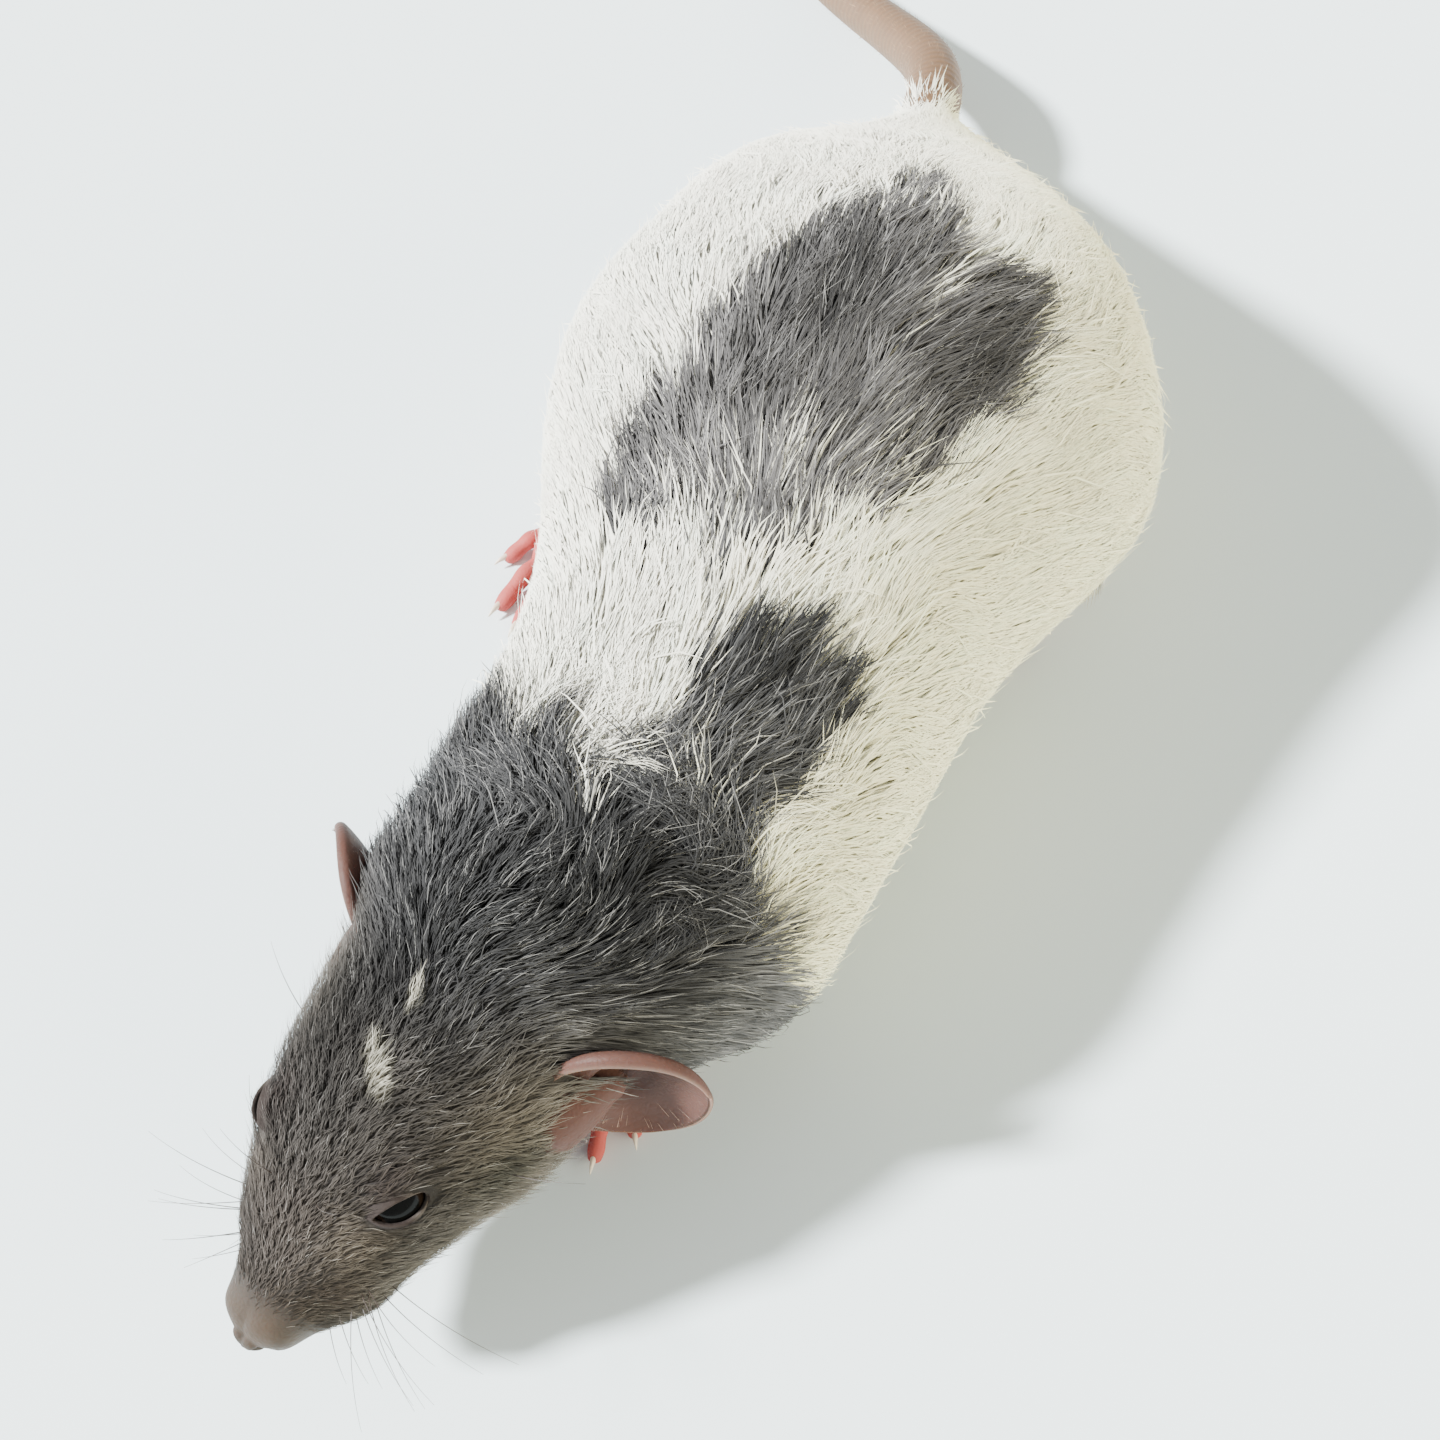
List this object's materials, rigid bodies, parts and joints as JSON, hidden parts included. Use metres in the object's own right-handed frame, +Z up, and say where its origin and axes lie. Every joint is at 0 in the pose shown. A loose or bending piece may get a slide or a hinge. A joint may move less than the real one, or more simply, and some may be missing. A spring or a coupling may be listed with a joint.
{
  "type": "dumbo rat",
  "caption": "Life-size adult dumbo rat creeping forward, with low round ears, a hooded grey and cream coat and its tail laid on the ground.",
  "frame": {"origin": "on the ground, under the middle of the box round the whole animal and its tail", "axes": "+Z up, the animal faces -Y, its left side is +X"},
  "size_m": [0.2097, 0.3196, 0.0645],
  "materials": {
    "fur_grey": "dark grey fur with paler guard hairs",
    "fur_white": "cream white fur",
    "skin_pink": "bare pink skin",
    "skin_tail": "bare tan-pink skin with fine rings",
    "eye_black": "moist black"
  },
  "bodies": {
    "root": {"chest": "fur_grey", "ear_left": "skin_pink", "ear_right": "skin_pink", "eye_left": "eye_black", "eye_right": "eye_black", "foreleg_left": "fur_grey", "foreleg_right": "fur_grey", "forepaw_left": "skin_pink", "forepaw_right": "skin_pink", "head": "fur_grey", "hindfoot_left": "skin_pink", "hindfoot_right": "skin_pink", "hindleg_left": "fur_white", "hindleg_right": "fur_white", "loin": "fur_white", "neck": "fur_grey", "nose": "skin_pink", "rump": "fur_grey", "tail_1": "skin_tail", "tail_2": "skin_tail", "tail_3": "skin_tail", "tail_4": "skin_tail", "tail_5": "skin_tail"}
  },
  "joints": []
}
